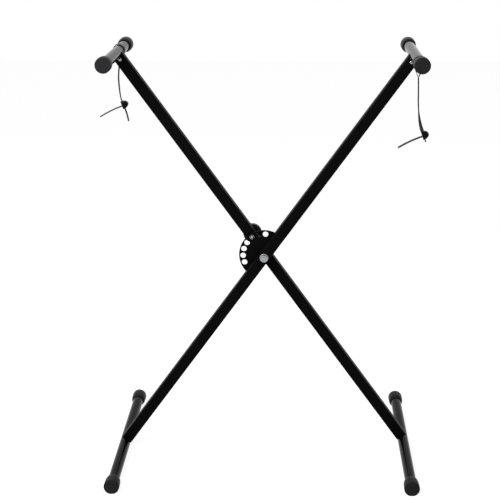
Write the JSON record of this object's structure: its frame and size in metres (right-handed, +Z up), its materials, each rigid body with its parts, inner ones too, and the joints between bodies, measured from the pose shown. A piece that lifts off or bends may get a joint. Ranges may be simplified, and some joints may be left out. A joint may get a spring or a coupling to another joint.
{
  "type": "x-style keyboard stand",
  "caption": "Single-braced folding keyboard stand: two crossed square legs on a pivot bolt, round arms and feet with rubber boots, and a spring pin that locks in a holed plate.",
  "frame": {"origin": "on the floor under the pivot bolt's axis, midway between the two legs", "axes": "+Z up, +X to the viewer's right, -Y to the front; the pivot bolt, the arms and the feet lie along Y"},
  "size_m": [0.6449, 0.4658, 0.8399],
  "materials": {
    "black_paint": "satin",
    "black_rubber": "matte",
    "black_plastic": "satin",
    "bright_zinc": "bright zinc plate",
    "white_nylon": "plain",
    "webbing": "woven"
  },
  "bodies": {
    "front_leg": {"front_leg_tube": "black_paint", "front_leg_bush": "bright_zinc", "right_arm_tube": "black_paint", "right_arm_front_cap": "black_rubber", "right_arm_back_cap": "black_rubber", "right_arm_spigot": "bright_zinc", "right_arm_spigot_screw": "bright_zinc", "left_foot_tube": "black_paint", "left_foot_front_cap": "black_rubber", "left_foot_back_cap": "black_rubber", "left_foot_spigot": "bright_zinc", "left_foot_spigot_screw": "bright_zinc", "locking_plate": "black_paint", "plate_rivet_upper": "bright_zinc", "plate_rivet_lower": "bright_zinc", "pivot_bolt": "bright_zinc", "pivot_nut": "bright_zinc", "pivot_front_washer": "bright_zinc", "pivot_back_washer": "bright_zinc", "pivot_spacer": "white_nylon", "right_strap_loop": "webbing", "right_strap_band": "webbing", "right_strap_lock": "black_plastic", "right_strap_tail": "webbing", "right_strap_end": "webbing"},
    "rear_leg": {"rear_leg_tube": "black_paint", "rear_leg_bush": "bright_zinc", "left_arm_tube": "black_paint", "left_arm_front_cap": "black_rubber", "left_arm_back_cap": "black_rubber", "left_arm_spigot": "bright_zinc", "left_arm_spigot_screw": "bright_zinc", "right_foot_tube": "black_paint", "right_foot_front_cap": "black_rubber", "right_foot_back_cap": "black_rubber", "right_foot_spigot": "bright_zinc", "right_foot_spigot_screw": "bright_zinc", "lock_sleeve": "bright_zinc", "lock_spring": "bright_zinc", "left_strap_loop": "webbing", "left_strap_band": "webbing", "left_strap_lock": "black_plastic", "left_strap_tail": "webbing", "left_strap_end": "webbing"},
    "lock": {"lock_pin": "bright_zinc", "lock_knob": "black_plastic"}
  },
  "joints": [
    {"name": "fold", "type": "hinge", "parent": "front_leg", "child": "rear_leg", "pos_m": [0, 0, 0.4211], "axis": [0, 1, 0], "range_deg": [-75.4, 67.7]},
    {"name": "lock_pull", "type": "slide", "parent": "rear_leg", "child": "lock", "axis": [0, 1, 0], "range_m": [0, 0.012], "stiffness_N_per_m": 800, "springref_m": -0.005, "deforming": ["lock_spring"]}
  ]
}
